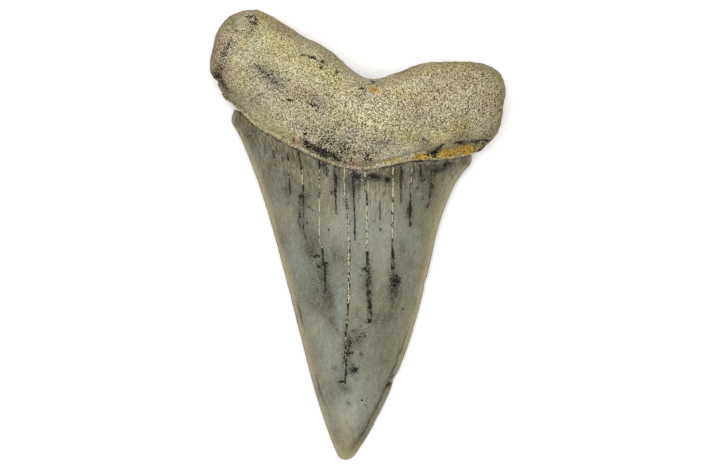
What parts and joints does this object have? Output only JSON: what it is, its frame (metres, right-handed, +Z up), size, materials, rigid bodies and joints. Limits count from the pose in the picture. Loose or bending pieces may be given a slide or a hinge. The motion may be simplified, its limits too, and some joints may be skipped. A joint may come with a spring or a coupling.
{
  "type": "fossil shark tooth",
  "caption": "Fossil mako shark tooth with a broad smooth-edged enamel crown, a porous two-lobed root and a narrow dental band, lying on its flat outer face.",
  "frame": {"origin": "middle of the footprint, on the surface that the tooth lies on", "axes": "+Y from the crown's tip towards the root, +Z up out of the convex inner face, +X to the right as seen from above with the root at the top"},
  "size_m": [0.0394, 0.06, 0.0128],
  "materials": {
    "fossil_tooth": "satin grey-green enamel crown with dark cracks, over a matt granular tan root"
  },
  "bodies": {
    "root": {"tooth": "fossil_tooth"}
  },
  "joints": []
}
